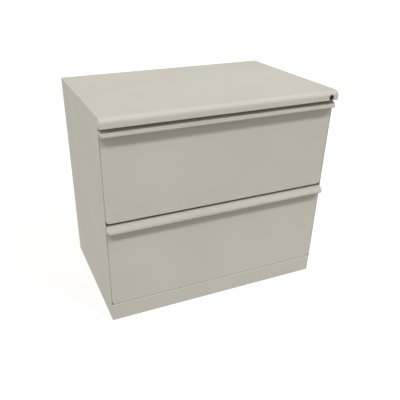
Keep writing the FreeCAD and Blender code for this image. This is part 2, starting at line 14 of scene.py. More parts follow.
import bmesh
import bpy
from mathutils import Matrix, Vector


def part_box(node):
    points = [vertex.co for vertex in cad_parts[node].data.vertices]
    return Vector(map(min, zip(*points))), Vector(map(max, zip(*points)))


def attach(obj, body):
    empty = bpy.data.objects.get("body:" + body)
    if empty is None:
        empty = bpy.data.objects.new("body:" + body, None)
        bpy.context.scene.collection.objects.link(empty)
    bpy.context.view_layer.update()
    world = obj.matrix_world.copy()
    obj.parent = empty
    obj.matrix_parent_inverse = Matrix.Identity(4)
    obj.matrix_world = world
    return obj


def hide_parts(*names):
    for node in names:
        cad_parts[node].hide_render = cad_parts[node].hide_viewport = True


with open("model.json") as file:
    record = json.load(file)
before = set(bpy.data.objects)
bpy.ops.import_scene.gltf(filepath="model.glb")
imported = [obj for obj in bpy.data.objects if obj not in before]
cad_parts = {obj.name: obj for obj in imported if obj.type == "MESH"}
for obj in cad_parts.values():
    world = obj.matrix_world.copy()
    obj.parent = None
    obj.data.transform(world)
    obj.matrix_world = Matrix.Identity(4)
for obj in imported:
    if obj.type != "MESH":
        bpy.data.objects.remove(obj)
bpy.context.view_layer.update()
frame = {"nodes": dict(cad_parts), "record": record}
LOG = logging.getLogger("cabinet")
MM = 0.001
FLAT_ANGLE = math.radians(0.4)
STARTUP_OBJECTS = ("Cube", "Light", "Camera")

Point2 = tuple[float, float]
Ring = list[Vector]


class Plane(Enum):
    """The plane that a section is drawn in, by the axis that it is extruded along."""

    ALONG_X = "yz"
    ALONG_Y = "xz"
    ALONG_Z = "xy"

    def point(self, a: float, b: float, along: float) -> Vector:
        """Place a section's point in space.

        Args:
            a: First coordinate in the section.
            b: Second coordinate in the section.
            along: Coordinate on the axis of extrusion.

        Returns:
            The point in the cabinet's frame.
        """
        if self is Plane.ALONG_X:
            return Vector((along, a, b))
        if self is Plane.ALONG_Y:
            return Vector((a, along, b))
        return Vector((a, b, along))


class Level(Enum):
    """The two drawers."""

    UPPER = "upper"
    LOWER = "lower"


class Side(Enum):
    """The two sides of the cabinet, with the sign of X."""

    LEFT = -1
    RIGHT = 1

    @property
    def word(self) -> str:
        """The side's name as the frame's nodes spell it."""
        return self.name.lower()


class Row(Enum):
    """The front and the rear pair of levelling feet."""

    FRONT = "front"
    REAR = "rear"


class Facing(Enum):
    """Euler angles that turn a template's Z axis to the way that it faces."""

    FRONT = (math.pi / 2, 0.0, 0.0)
    BACK = (-math.pi / 2, 0.0, 0.0)
    RIGHT = (0.0, math.pi / 2, 0.0)
    LEFT = (0.0, -math.pi / 2, 0.0)


class Solids(Enum):
    """What to do with two closed solids."""

    CUT = "DIFFERENCE"
    UNITE = "UNION"


# ---- outlines ----
def unit(a: Point2, b: Point2) -> Point2:
    """The direction from one point to another.

    Args:
        a: Start.
        b: End.

    Returns:
        A vector of length one.
    """
    length = math.hypot(b[0] - a[0], b[1] - a[1])
    return ((b[0] - a[0]) / length, (b[1] - a[1]) / length)


def corner_points(before: Point2, at: Point2, after: Point2, radius: float, steps: int) -> list[Point2]:
    """Round one corner of an outline.

    Args:
        before: The point before the corner.
        at: The corner.
        after: The point after the corner.
        radius: Radius of the rounding, or 0 for a sharp corner.
        steps: Chords in the arc.

    Returns:
        The points that stand for the corner.
    """
    if radius <= 0:
        return [at]
    u, v = unit(at, before), unit(at, after)
    half = math.acos(max(-1.0, min(1.0, u[0] * v[0] + u[1] * v[1]))) / 2
    reach = radius / math.tan(half)
    middle = (u[0] + v[0], u[1] + v[1])
    to_centre = radius / math.sin(half) / math.hypot(*middle)
    centre = (at[0] + middle[0] * to_centre, at[1] + middle[1] * to_centre)
    start = (at[0] + u[0] * reach - centre[0], at[1] + u[1] * reach - centre[1])
    sweep = math.pi - 2 * half
    if u[0] * v[1] - u[1] * v[0] > 0:
        sweep = -sweep
    return [
        (centre[0] + start[0] * math.cos(sweep * i / steps) - start[1] * math.sin(sweep * i / steps),
         centre[1] + start[0] * math.sin(sweep * i / steps) + start[1] * math.cos(sweep * i / steps))
        for i in range(steps + 1)
    ]


def outline(corners: Sequence[tuple[float, float, float]], steps: int = 8) -> list[Point2]:
    """A closed outline with rounded corners.

    Args:
        corners: Points as (a, b, radius).
        steps: Chords in each rounded corner.

    Returns:
        The outline's points in order.
    """
    points: list[Point2] = []
    count = len(corners)
    for i, (a, b, radius) in enumerate(corners):
        points += corner_points(corners[i - 1][:2], (a, b), corners[(i + 1) % count][:2], radius, steps)
    return points


def folded(path: Sequence[Point2], sheet: float, bend: float, radii: dict[int, float] | None = None,
           steps: int = 6) -> list[Point2]:
    """The outline of a folded sheet that lies to the left of a path.

    Args:
        path: The sheet's outer skin.
        sheet: Thickness.
        bend: Inside radius of each fold.
        radii: Skin radii of particular points, by their place in the path.
        steps: Chords in each fold.

    Returns:
        A closed outline.
    """
    last = len(path) - 1
    near: list[tuple[float, float, float]] = []
    far: list[tuple[float, float, float]] = []
    for i, point in enumerate(path):
        ways = [unit(path[k], path[k + 1]) for k in (i - 1, i) if 0 <= k < last]
        total = (sum(-w[1] for w in ways), sum(w[0] for w in ways))
        scale = sheet * len(ways) / (total[0] ** 2 + total[1] ** 2)
        moved = (point[0] + total[0] * scale, point[1] + total[1] * scale)
        if i in (0, last):
            near.append((*point, 0.0))
            far.append((*moved, 0.0))
            continue
        left_turn = ways[0][0] * ways[1][1] - ways[0][1] * ways[1][0] > 0
        radius = (radii or {}).get(i, bend + sheet if left_turn else bend)
        near.append((*point, radius))
        far.append((*moved, radius - sheet if left_turn else radius + sheet))
    return outline(near + far[::-1], steps)


def spaced(start: float, end: float, count: int) -> list[float]:
    """Evenly spaced values.

    Args:
        start: The first value.
        end: The last value.
        count: How many.

    Returns:
        The values.
    """
    return [start + (end - start) * i / (count - 1) for i in range(count)]


# ---- meshes ----
def to_object(name: str, mesh_maker: Callable[[bmesh.types.BMesh], None],
              smooth_angle: float = 35.0) -> bpy.types.Object:
    """Build an object from a function that fills a bmesh.

    Args:
        name: Name of the piece.
        mesh_maker: Fills the bmesh.
        smooth_angle: Edges sharper than this, in degrees, stay sharp.

    Returns:
        The new object, at the origin, linked to the scene.
    """
    mesh = bpy.data.meshes.new(name)
    bm = bmesh.new()
    mesh_maker(bm)
    bmesh.ops.remove_doubles(bm, verts=bm.verts, dist=1e-7)
    bmesh.ops.recalc_face_normals(bm, faces=bm.faces)
    for face in bm.faces:
        face.smooth = True
    bm.to_mesh(mesh)
    bm.free()
    mesh.set_sharp_from_angle(angle=math.radians(smooth_angle))
    piece = bpy.data.objects.new(name, mesh)
    bpy.context.scene.collection.objects.link(piece)
    return piece


def fill_prism(bm: bmesh.types.BMesh, points: Sequence[Point2], plane: Plane, start: float,
               end: float) -> None:
    """Add an extruded outline to a bmesh.

    Args:
        bm: The bmesh to fill.
        points: The outline.
        plane: The plane of the outline.
        start: Where the extrusion starts.
        end: Where it ends.
    """
    rings = [[bm.verts.new(plane.point(a, b, along)) for a, b in points] for along in (start, end)]
    count = len(points)
    for i in range(count):
        j = (i + 1) % count
        bm.faces.new((rings[0][i], rings[0][j], rings[1][j], rings[1][i]))
    bm.faces.new(rings[0][::-1])
    bm.faces.new(rings[1])


def fill_loft(bm: bmesh.types.BMesh, rings: Sequence[Ring], capped: bool = True) -> None:
    """Join closed rings of equal length with quads.

    Args:
        bm: The bmesh to fill.
        rings: The rings in order.
        capped: Whether the first and the last ring get a face.
    """
    made = [[bm.verts.new(point) for point in ring] for ring in rings]
    count = len(made[0])
    for low, high in zip(made[:-1], made[1:]):
        for i in range(count):
            j = (i + 1) % count
            bm.faces.new((low[i], low[j], high[j], high[i]))
    if capped:
        bm.faces.new(made[0][::-1])
        bm.faces.new(made[-1])


def circle(radius: float, sides: int) -> list[Point2]:
    """Points round a circle.

    Args:
        radius: Its radius.
        sides: How many points.

    Returns:
        The points, from the first axis towards the second.
    """
    return [(radius * math.cos(math.tau * i / sides), radius * math.sin(math.tau * i / sides))
            for i in range(sides)]


def turned(name: str, profile: Sequence[Point2], centre: Vector, axis: Plane, sides: int,
           smooth_angle: float = 35.0, capped: bool = True) -> bpy.types.Object:
    """A turned solid.

    Args:
        name: Name of the piece.
        profile: (radius, distance along the axis) from one end of the solid to the other.
        centre: A point on the axis.
        axis: The axis, as the direction of extrusion of a section.
        sides: Facets round the axis.
        smooth_angle: Edges sharper than this, in degrees, stay sharp.
        capped: Whether the ends get faces.

    Returns:
        The object.
    """
    rings = [[centre + axis.point(a, b, along) for a, b in circle(radius, sides)]
             for radius, along in profile]
    return to_object(name, lambda bm: fill_loft(bm, rings, capped), smooth_angle)


# ---- finishes ----
class Nodes:
    """A small writer for a material's node tree."""

    NOISE_LOW = 0.3
    NOISE_HIGH = 0.7

    def __init__(self, name: str) -> None:
        """Start a material with a Principled shader.

        Args:
            name: Name of the material.
        """
        self.material = bpy.data.materials.new(name)
        self.material.use_nodes = True
        self.tree = self.material.node_tree
        self.shader = self.tree.nodes["Principled BSDF"]
        self.coords = self.add("ShaderNodeTexCoord").outputs["Object"]

    def add(self, kind: str, **inputs: object) -> bpy.types.ShaderNode:
        """Add a node and set its inputs.

        Args:
            kind: Blender's name for the node type.
            **inputs: Values or sockets, by the input's name with _ for a space.

        Returns:
            The node.
        """
        node = self.tree.nodes.new(kind)
        for key, value in inputs.items():
            socket = node.inputs[key.replace("_", " ")]
            if isinstance(value, bpy.types.NodeSocket):
                self.tree.links.new(value, socket)
            else:
                socket.default_value = value
        return node

    def noise(self, scale: float, detail: float = 3.0, roughness: float = 0.5,
              stretch: tuple[float, float, float] = (1, 1, 1)) -> bpy.types.NodeSocket:
        """A noise pattern on object coordinates.

        Args:
            scale: Features per metre, roughly.
            detail: Octaves.
            roughness: Weight of the fine octaves.
            stretch: Scale of each axis.

        Returns:
            The pattern's value, about 0 to 1.
        """
        mapping = self.add("ShaderNodeMapping", Vector=self.coords, Scale=stretch)
        return self.add("ShaderNodeTexNoise", Vector=mapping.outputs["Vector"], Scale=scale,
                        Detail=detail, Roughness=roughness).outputs["Fac"]

    def spread(self, value: bpy.types.NodeSocket, low: float, high: float) -> bpy.types.NodeSocket:
        """Stretch the middle of a noise pattern over a range.

        Args:
            value: The noise pattern.
            low: Result in its hollows.
            high: Result on its crests.

        Returns:
            The mapped value.
        """
        node = self.add("ShaderNodeMapRange", Value=value, From_Min=self.NOISE_LOW,
                        From_Max=self.NOISE_HIGH, To_Min=low, To_Max=high)
        return node.outputs["Result"]

    def tint(self, factor: bpy.types.NodeSocket, a: Sequence[float],
             b: Sequence[float]) -> bpy.types.NodeSocket:
        """Blend two colours.

        Args:
            factor: 0 for a, 1 for b.
            a: First colour, linear.
            b: Second colour, linear.

        Returns:
            The blended colour.
        """
        node = self.tree.nodes.new("ShaderNodeMix")
        node.data_type = "RGBA"
        self.tree.links.new(factor, node.inputs[0])
        for socket, colour in ((node.inputs[6], a), (node.inputs[7], b)):
            socket.default_value = (*colour, 1)
        return node.outputs[2]

    def bump(self, height: bpy.types.NodeSocket, distance: float, strength: float,
             under: bpy.types.NodeSocket | None = None) -> bpy.types.NodeSocket:
        """Turn a height into a normal.

        Args:
            height: The height pattern.
            distance: Depth in metres.
            strength: 0 to 1.
            under: A normal to build on.

        Returns:
            The normal.
        """
        node = self.add("ShaderNodeBump", Height=height, Distance=distance, Strength=strength)
        if under is not None:
            self.tree.links.new(under, node.inputs["Normal"])
        return node.outputs["Normal"]

    def connect(self, **links: object) -> bpy.types.Material:
        """Set or link the shader's inputs.

        Args:
            **links: Values or sockets by the input's name with _ for a space.

        Returns:
            The finished material.
        """
        for key, value in links.items():
            socket = self.shader.inputs[key.replace("_", " ")]
            if isinstance(value, bpy.types.NodeSocket):
                self.tree.links.new(value, socket)
            else:
                socket.default_value = value
        return self.material


@dataclass(frozen=True)
class PowderCoat:
    """Satin powder coat on steel: orange peel, a slow drift of tone, faint handling marks."""

    name: str
    colour: tuple[float, float, float]
    drift: float = 0.03
    rough: float = 0.55
    specular: float = 0.35
    drift_scale: float = 3.5
    speck_scale: float = 900.0
    speck: float = 0.015
    mark_scale: float = 14.0
    mark_stretch: tuple[float, float, float] = (1.0, 1.0, 0.35)
    peel_scale: float = 420.0
    peel_depth: float = 0.04 * MM
    wave_scale: float = 2.2
    wave_depth: float = 0.7 * MM

    def material(self) -> bpy.types.Material:
        """The finish as a node material."""
        nodes = Nodes(self.name)
        slow = nodes.noise(self.drift_scale, 2.0)
        specks = nodes.noise(self.speck_scale, 2.0)
        low = [c * (1 - self.drift) for c in self.colour]
        high = [min(1.0, c * (1 + self.drift)) for c in self.colour]
        tone = nodes.tint(nodes.spread(slow, 0.0, 1.0), low, high)
        fine = nodes.spread(specks, 1 - self.speck, 1 + self.speck)
        hue = nodes.add("ShaderNodeHueSaturation", Color=tone, Value=fine)
        marks = nodes.noise(self.mark_scale, 5.0, 0.65, self.mark_stretch)
        gloss = nodes.spread(marks, self.rough - 0.05, self.rough + 0.07)
        peel = nodes.noise(self.peel_scale, 2.0, 0.4)
        wave = nodes.noise(self.wave_scale, 1.0, 0.3)
        normal = nodes.bump(wave, self.wave_depth, 0.35)
        normal = nodes.bump(peel, self.peel_depth, 0.6, normal)
        return nodes.connect(Base_Color=hue.outputs["Color"], Roughness=gloss, Normal=normal,
                             Metallic=0.0, Specular_IOR_Level=self.specular)


@dataclass(frozen=True)
class Plate:
    """Plated or bare metal with a drawn grain and cloudy patches."""

    name: str
    colour: tuple[float, float, float]
    rough: float = 0.32
    grain: tuple[float, float, float] = (1.0, 0.03, 1.0)
    grain_scale: float = 1400.0
    grain_depth: float = 0.02 * MM
    cloud: float = 0.12
    cloud_scale: float = 22.0

    def material(self) -> bpy.types.Material:
        """The finish as a node material."""
        nodes = Nodes(self.name)
        cloud = nodes.noise(self.cloud_scale, 3.0)
        grain = nodes.noise(self.grain_scale, 3.0, 0.6, self.grain)
        dark = [c * (1 - self.cloud) for c in self.colour]
        tone = nodes.tint(nodes.spread(cloud, 0.0, 1.0), dark, self.colour)
        gloss = nodes.spread(grain, self.rough - 0.08, self.rough + 0.12)
        normal = nodes.bump(grain, self.grain_depth, 0.5)
        return nodes.connect(Base_Color=tone, Roughness=gloss, Normal=normal, Metallic=1.0)


@dataclass(frozen=True)
class Rough:
    """Matt dark stuff: rubber, black oxide or a bare casting."""

    name: str
    colour: tuple[float, float, float]
    rough: float
    lump: float
    scale: float
    metallic: float = 0.0
    dust: float = 0.06
    dust_tone: float = 0.35

    def material(self) -> bpy.types.Material:
        """The finish as a node material."""
        nodes = Nodes(self.name)
        lumps = nodes.noise(self.scale, 4.0, 0.6)
        drift = nodes.noise(self.scale * 0.1, 3.0)
        dusty = [c + (self.dust_tone - c) * self.dust for c in self.colour]
        tone = nodes.tint(nodes.spread(drift, 0.0, 1.0), self.colour, dusty)
        gloss = nodes.spread(lumps, self.rough - 0.08, min(1.0, self.rough + 0.08))
        normal = nodes.bump(lumps, self.lump, 0.7)
        return nodes.connect(Base_Color=tone, Roughness=gloss, Normal=normal, Metallic=self.metallic)


# ---- geometry node trees ----
class GeometryTree:
    """A geometry node tree whose sizes are named inputs."""

    def __init__(self, name: str, sizes: dict[str, str]) -> None:
        """Start a tree.

        Args:
            name: Name of the tree.
            sizes: Socket types of the named inputs, by name.
        """
        self.tree = bpy.data.node_groups.new(name, "GeometryNodeTree")
        face = self.tree.interface
        face.new_socket("Geometry", in_out="INPUT", socket_type="NodeSocketGeometry")
        for label, kind in {**sizes, "Finish": "NodeSocketMaterial"}.items():
            face.new_socket(label, in_out="INPUT", socket_type=kind)
        face.new_socket("Geometry", in_out="OUTPUT", socket_type="NodeSocketGeometry")
        self.source = self.tree.nodes.new("NodeGroupInput").outputs
        self.result = self.tree.nodes.new("NodeGroupOutput").inputs[0]

    def add(self, kind: str, settings: dict[str, object] | None = None,
            **inputs: object) -> bpy.types.GeometryNode:
        """Add a node, set its properties and fill its inputs.

        Args:
            kind: Blender's name for the node type.
            settings: Properties of the node.
            **inputs: Values or sockets by the input's name with _ for a space.

        Returns:
            The node.
        """
        node = self.tree.nodes.new(kind)
        for key, value in (settings or {}).items():
            setattr(node, key, value)
        for key, value in inputs.items():
            label = key.replace("_", " ")
            socket = next(s for s in node.inputs if s.name == label and s.enabled)
            if isinstance(value, bpy.types.NodeSocket):
                self.tree.links.new(value, socket)
            else:
                socket.default_value = value
        return node

    def finish(self, geometry: bpy.types.NodeSocket) -> None:
        """End the tree: make the copies real and give them the finish.

        Args:
            geometry: What the tree has built.
        """
        real = self.add("GeometryNodeRealizeInstances", Geometry=geometry)
        coat = self.add("GeometryNodeSetMaterial", Geometry=real.outputs[0],
                        Material=self.source["Finish"])
        self.tree.links.new(coat.outputs[0], self.result)

    def run(self, name: str, mesh: bpy.types.Mesh, values: dict[str, object]) -> bpy.types.Object:
        """Run the tree on a mesh and keep the result as a plain mesh.

        Args:
            name: Name of the new piece.
            mesh: The mesh that goes in.
            values: Values of the named inputs.

        Returns:
            The new piece.
        """
        host = bpy.data.objects.new(f"{name}_host", mesh)
        bpy.context.scene.collection.objects.link(host)
        modifier = host.modifiers.new("tree", "NODES")
        modifier.node_group = self.tree
        for item in self.tree.interface.items_tree:
            if item.in_out == "INPUT" and item.name in values:
                modifier[item.identifier] = values[item.name]
        host.update_tag()
        depsgraph = bpy.context.evaluated_depsgraph_get()
        made = bpy.data.meshes.new_from_object(host.evaluated_get(depsgraph), depsgraph=depsgraph)
        bpy.data.objects.remove(host)
        piece = bpy.data.objects.new(name, made)
        bpy.context.scene.collection.objects.link(piece)
        return piece


def points_mesh(name: str, places: Iterable[Vector]) -> bpy.types.Mesh:
    """A mesh of loose points.

    Args:
        name: Name of the mesh.
        places: The points.

    Returns:
        The mesh.
    """
    mesh = bpy.data.meshes.new(name)
    mesh.from_pydata([tuple(place) for place in places], [], [])
    return mesh


def set_out_tree() -> GeometryTree:
    """A tree that sets one template on every point, each with its own turn about its axis.

    Returns:
        The tree, with inputs Template, Facing, Size and Seed.
    """
    tree = GeometryTree("set_out_along_seam", {
        "Template": "NodeSocketObject", "Facing": "NodeSocketVector", "Size": "NodeSocketFloat",
        "Seed": "NodeSocketInt"})
    source = tree.source
    shape = tree.add("GeometryNodeObjectInfo", Object=source["Template"], As_Instance=True)
    turn = tree.add("FunctionNodeRandomValue", {"data_type": "FLOAT"}, Min=0.0, Max=math.tau,
                    Seed=source["Seed"])
    spin = tree.add("ShaderNodeCombineXYZ", Z=turn.outputs[1])
    copies = tree.add("GeometryNodeInstanceOnPoints", Points=source["Geometry"],
                      Instance=shape.outputs["Geometry"], Rotation=source["Facing"],
                      Scale=source["Size"])
    turned_copies = tree.add("GeometryNodeRotateInstances", Instances=copies.outputs[0],
                             Rotation=spin.outputs[0], Local_Space=True)
    tree.finish(turned_copies.outputs[0])
    return tree


def punch_tree() -> GeometryTree:
    """A tree that punches a row of slots through a sheet.

    Returns:
        The tree, with inputs First, Pitch, Count and Slot.
    """
    tree = GeometryTree("punched_row", {
        "First": "NodeSocketVector", "Pitch": "NodeSocketVector", "Count": "NodeSocketInt",
        "Slot": "NodeSocketVector"})
    source = tree.source
    line = tree.add("GeometryNodeMeshLine", {"mode": "OFFSET"}, Count=source["Count"],
                    Start_Location=source["First"], Offset=source["Pitch"])
    slot = tree.add("GeometryNodeMeshCube", Size=source["Slot"])
    row = tree.add("GeometryNodeInstanceOnPoints", Points=line.outputs[0], Instance=slot.outputs[0])
    real = tree.add("GeometryNodeRealizeInstances", Geometry=row.outputs[0])
    cut = tree.add("GeometryNodeMeshBoolean", {"operation": "DIFFERENCE"})
    tree.tree.links.new(source["Geometry"], cut.inputs["Mesh 1"])
    tree.tree.links.new(real.outputs[0], cut.inputs["Mesh 2"])
    tree.finish(cut.outputs[0])
    return tree


# ---- the workshop ----
@dataclass
class Workshop:
    """Keeps the finishes and the trees, and fixes finished pieces to the frame."""

    finishes: dict[str, bpy.types.Material]
    scatter: GeometryTree = field(default_factory=set_out_tree)
    punch: GeometryTree = field(default_factory=punch_tree)

    def fit(self, piece: bpy.types.Object, body: str, slot: str, *nodes: str) -> None:
        """Finish a piece and fix it to its body.

        Args:
            piece: The piece.
            body: The frame's body that it moves with.
            slot: The material slot that it takes its finish from.
            *nodes: Frame nodes that it stands for.
        """
        piece.data.materials.clear()
        piece.data.materials.append(self.finishes[slot])
        even = piece.modifiers.new("even_normals", "WEIGHTED_NORMAL")
        even.keep_sharp = True
        even.weight = 100
        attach(piece, body)
        if nodes:
            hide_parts(*nodes)
        LOG.info("%s: %s on %s, %d faces", piece.name, slot, body, len(piece.data.polygons))

    def dress(self, node: str, slot: str) -> None:
        """Give a frame node its finish.

        Args:
            node: The node.
            slot: Its material slot.
        """
        kept = frame["nodes"][node]
        kept.data.materials.clear()
        kept.data.materials.append(self.finishes[slot])
        LOG.info("%s: %s, kept", node, slot)

    def set_out(self, name: str, template: bpy.types.Object, places: Iterable[Vector],
                facing: Facing, slot: str, seed: int = 7) -> bpy.types.Object:
        """Copy a template to a list of places.

        Args:
            name: Name of the piece.
            template: The shape, drawn round the origin with its axis along Z.
            places: Where the copies go.
            facing: Which way the copies face.
            slot: Material slot of the finish.
            seed: Seed of the turns about the axis.

        Returns:
            The piece.
        """
        return self.scatter.run(name, points_mesh(name, places), {
            "Template": template, "Facing": facing.value, "Size": 1.0, "Seed": seed,
            "Finish": self.finishes[slot]})


def join(name: str, pieces: Sequence[bpy.types.Object]) -> bpy.types.Object:
    """Join pieces into one new piece and remove the pieces.

    Args:
        name: Name of the result.
        pieces: The pieces.

    Returns:
        The joined piece.
    """
    bm = bmesh.new()
    for piece in pieces:
        bm.from_mesh(piece.data)
    mesh = bpy.data.meshes.new(name)
    bm.to_mesh(mesh)
    bm.free()
    for piece in pieces:
        bpy.data.objects.remove(piece)
    made = bpy.data.objects.new(name, mesh)
    bpy.context.scene.collection.objects.link(made)
    return made


def combine(piece: bpy.types.Object, tool: bpy.types.Object, operation: Solids) -> bpy.types.Object:
    """Cut or join two closed solids and keep the result in the first.

    Args:
        piece: The solid that is kept.
        tool: The other solid, which is used up.
        operation: Whether the other solid is cut away or added.

    Returns:
        The first solid, changed.
    """
    modifier = piece.modifiers.new("combine", "BOOLEAN")
    modifier.operation = operation.value
    modifier.object = tool
    depsgraph = bpy.context.evaluated_depsgraph_get()
    mesh = bpy.data.meshes.new_from_object(piece.evaluated_get(depsgraph), depsgraph=depsgraph)
    piece.modifiers.clear()
    piece.data = mesh
    bpy.data.objects.remove(tool)
    return piece


def reround(piece: bpy.types.Object, width: float, angle: float, segments: int) -> None:
    """Round a piece's sharp edges in its mesh.

    Args:
        piece: The piece.
        width: Width of the rounding.
        angle: Edges sharper than this, in degrees, are rounded.
        segments: Segments in the rounding.
    """
    bm = bmesh.new()
    bm.from_mesh(piece.data)
    bmesh.ops.remove_doubles(bm, verts=bm.verts, dist=2e-6)
    bmesh.ops.dissolve_limit(bm, angle_limit=FLAT_ANGLE, verts=bm.verts, edges=bm.edges)
    sharp = [e for e in bm.edges if len(e.link_faces) == 2
             and e.calc_face_angle(0.0) > math.radians(angle)]
    bmesh.ops.bevel(bm, geom=sharp, offset=width, segments=segments, profile=0.5, affect="EDGES",
                    clamp_overlap=False)
    for face in bm.faces:
        face.smooth = True
    bm.to_mesh(piece.data)
    bm.free()
    piece.data.set_sharp_from_angle(angle=math.radians(angle))


# ---- the case ----
@dataclass
class CaseShell:
    """The painted skin of the case: sides, top with its rounded lip, back and base."""

    shop: Workshop
    sheet: float = 1.2 * MM
    back_sheet: float = 1.0 * MM
    frame_sheet: float = 1.5 * MM
    bend: float = 1.5 * MM
    lip_radius: float = 16.0 * MM
    lip_return: float = 12.0 * MM
    lip_fold: float = 1.6 * MM
    back_flange: float = 14.0 * MM
    base_flange: float = 30.0 * MM
    edge: float = 0.8 * MM
    bead_inset: float = 62.0 * MM
    bead_width: float = 9.0 * MM
    bead_depth: float = 1.6 * MM
    bead_corner: float = 0.4
    bead_steps: int = 12
    least_radius: float = 0.2 * MM
    lock_hole_play: float = 0.1 * MM
    hole_sides: int = 64
    drill_lead: float = 5.0 * MM

    def __post_init__(self) -> None:
        """Read the faces of the case from the frame."""
        low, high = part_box("left_side_panel")
        top_low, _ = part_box("top_panel")
        base_low, base_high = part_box("base_front_rail")
        self.half, self.inner = -low.x, -high.x
        self.lip, self.back = low.y, high.y
        self.top, self.lip_low = high.z, top_low.z
        self.front, self.base_top = base_low.y, base_high.z

    def side(self, side: Side) -> bpy.types.Object:
        """One side panel, cut at its top front corner to the lip's curve.

        Args:
            side: Which side.

        Returns:
            The panel.
        """
        points = outline([(self.front, 0, 0), (self.back, 0, 0), (self.back, self.top, 0),
                          (self.lip, self.top, self.lip_radius), (self.lip, self.lip_low, 0),
                          (self.front, self.lip_low, 0)], 16)
        sign = side.value

        def make(bm: bmesh.types.BMesh) -> None:
            fill_prism(bm, points, Plane.ALONG_X, sign * self.inner, sign * self.half)
            outer = [e for e in bm.edges if all(abs(v.co.x) > self.half - 1e-6 for v in e.verts)]
            bmesh.ops.bevel(bm, geom=outer, offset=self.edge, segments=4, profile=0.5,
                            affect="EDGES", clamp_overlap=False)
        return to_object(f"{side.word}_side_skin", make, 30.0)

    def cover(self) -> bpy.types.Object:
        """The top: a sheet folded down at the back and rolled over the front into a lip.

        Returns:
            The cover.
        """
        flange_foot = self.top - self.sheet - self.back_flange
        inside_back = self.back - self.back_sheet
        points = folded([(inside_back, flange_foot), (inside_back, self.top),
                         (self.lip, self.top), (self.lip, self.lip_low),
                         (self.lip + self.lip_return, self.lip_low)],
                        self.sheet, self.bend, {2: self.lip_radius, 3: self.lip_fold}, 16)
        cover = to_object("top_cover", lambda bm: fill_prism(bm, points, Plane.ALONG_X, -self.inner,
                                                             self.inner), 30.0)
        low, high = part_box("lock_housing")
        centre = (low + high) / 2
        radius = (high.x - low.x) / 2 + self.lock_hole_play
        drill = turned("lock_hole_drill", [(radius, low.y - self.drill_lead), (radius, high.y)],
                       Vector((centre.x, 0, centre.z)), Plane.ALONG_Y, self.hole_sides)
        return combine(cover, drill, Solids.CUT)

    def rear(self) -> bpy.types.Object:
        """The back sheet, with a shallow stiffening bead pressed inwards all round.

        Returns:
            The sheet.
        """
        def ring(inset: float, y: float) -> Ring:
            radius = max(inset * self.bead_corner, self.least_radius)
            corners = [(-self.inner + inset, inset, radius), (self.inner - inset, inset, radius),
                       (self.inner - inset, self.top - inset, radius),
                       (-self.inner + inset, self.top - inset, radius)]
            return [Vector((a, y, b)) for a, b in outline(corners, 6)]

        turns = spaced(0.0, math.pi, self.bead_steps + 1)
        bead = [(self.bead_inset + self.bead_width * (1 - math.cos(t)),
                 self.bead_depth * (1 - math.cos(2 * t)) / 2) for t in turns]
        outside = [(0.0, 0.0)] + bead
        rings = [ring(inset, self.back - depth) for inset, depth in reversed(outside)]
        rings += [ring(inset, self.back - self.back_sheet - depth) for inset, depth in outside]
        return to_object("rear_skin", lambda bm: fill_loft(bm, rings), 30.0)

    def base(self) -> bpy.types.Object:
        """The folded rail across the front of the base.

        Returns:
            The rail.
        """
        deep = self.front + self.base_flange
        points = folded([(deep, self.base_top), (self.front, self.base_top), (self.front, 0), (deep, 0)],
                        self.frame_sheet, self.bend, steps=8)
        return to_object("base_rail_skin", lambda bm: fill_prism(bm, points, Plane.ALONG_X,
                                                                 -self.inner, self.inner), 30.0)

    def build(self) -> None:
        """Make the skin and fix it to the cabinet."""
        for side in Side:
            self.shop.fit(self.side(side), "cabinet", "putty_paint", f"{side.word}_side_panel")
        self.shop.fit(self.cover(), "cabinet", "putty_paint", "top_panel")
        self.shop.fit(self.rear(), "cabinet", "putty_paint", "back_panel")
        self.shop.fit(self.base(), "cabinet", "putty_paint", "base_front_rail")


